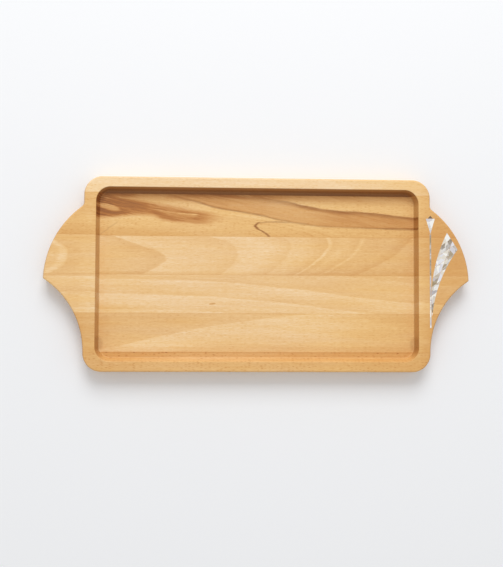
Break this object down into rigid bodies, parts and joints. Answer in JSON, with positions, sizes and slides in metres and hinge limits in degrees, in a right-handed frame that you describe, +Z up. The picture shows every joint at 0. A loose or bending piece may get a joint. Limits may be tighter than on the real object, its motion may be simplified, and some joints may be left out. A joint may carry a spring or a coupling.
{
  "type": "serving tray",
  "caption": "Long rectangular wooden serving tray with a shallow routed recess, a curved ear at each end to lift it by, and a slim shell inlay let into one ear.",
  "frame": {"origin": "on the underside, at the middle of the tray's footprint", "axes": "+X along the tray to the inlaid ear, +Y to the back, which is the side that the ears' bulging edges face, +Z up out of the recess"},
  "size_m": [0.45, 0.205, 0.02],
  "materials": {
    "beech": "sanded smooth and oiled, satin",
    "shell": "mother-of-pearl, ground level with the wood and polished",
    "dark_shell": "dark grey-brown shell, polished",
    "resin": "tinted filler, ground level and polished"
  },
  "bodies": {
    "root": {"stave_1": "beech", "stave_2": "beech", "stave_3": "beech", "stave_4": "beech", "stave_5": "beech", "stave_6": "beech", "inlay_resin": "resin", "inlay_cap": "dark_shell", "wedge_head": "shell", "wedge_point": "shell", "stem_slip_1": "shell", "stem_slip_2": "shell", "stem_slip_3": "shell", "stem_slip_4": "shell", "stem_slip_5": "shell", "stem_slip_6": "shell", "stem_slip_7": "shell", "stem_slip_8": "shell", "stem_slip_9": "shell", "blade_tile_1": "shell", "blade_tile_2": "shell", "blade_tile_3": "shell", "blade_tile_4": "shell", "blade_tile_5_in": "shell", "blade_tile_5_out": "shell", "blade_tile_6_in": "shell", "blade_tile_6_out": "shell", "blade_tile_7_in": "shell", "blade_tile_7_out": "shell", "blade_tile_8_in": "shell", "blade_tile_8_out": "shell", "blade_tile_9": "shell"}
  },
  "joints": []
}
